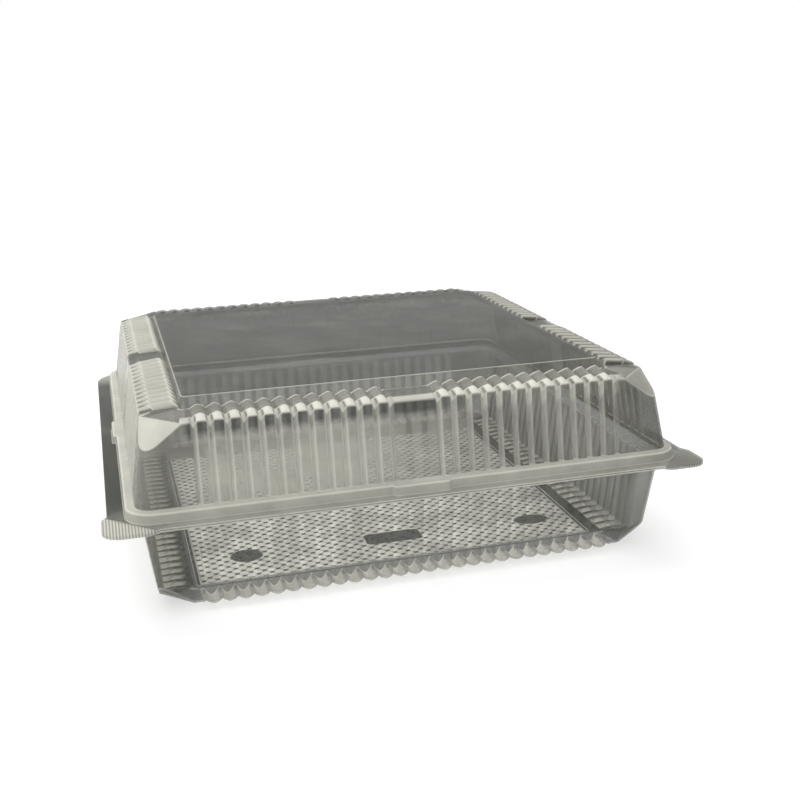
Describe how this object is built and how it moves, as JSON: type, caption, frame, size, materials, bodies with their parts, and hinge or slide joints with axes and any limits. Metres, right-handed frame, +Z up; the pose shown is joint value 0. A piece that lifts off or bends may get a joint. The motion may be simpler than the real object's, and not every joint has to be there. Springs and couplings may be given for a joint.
{
  "type": "square plastic tray with hinged lid",
  "caption": "Square clear thermoformed tray with a hinged snap-fit lid, fluted walls, chamfered corners, a textured floor and finger tabs at the front corners.",
  "frame": {"origin": "middle of the box on the plane it stands on", "axes": "+Z up, -Y towards the front edge with the finger tabs, +Y towards the fold at the back, +X to the right seen from the front"},
  "size_m": [0.2386, 0.235, 0.0797],
  "materials": {
    "clear_sheet": "clear, slightly grey, glossy thermoformed sheet"
  },
  "bodies": {
    "tray": {"tray": "clear_sheet"},
    "lid": {"lid": "clear_sheet"}
  },
  "joints": [
    {"name": "lid_hinge", "type": "hinge", "parent": "tray", "child": "lid", "pos_m": [0, 0.1167, 0.041], "axis": [-1, 0, 0], "range_deg": [0, 180]}
  ]
}
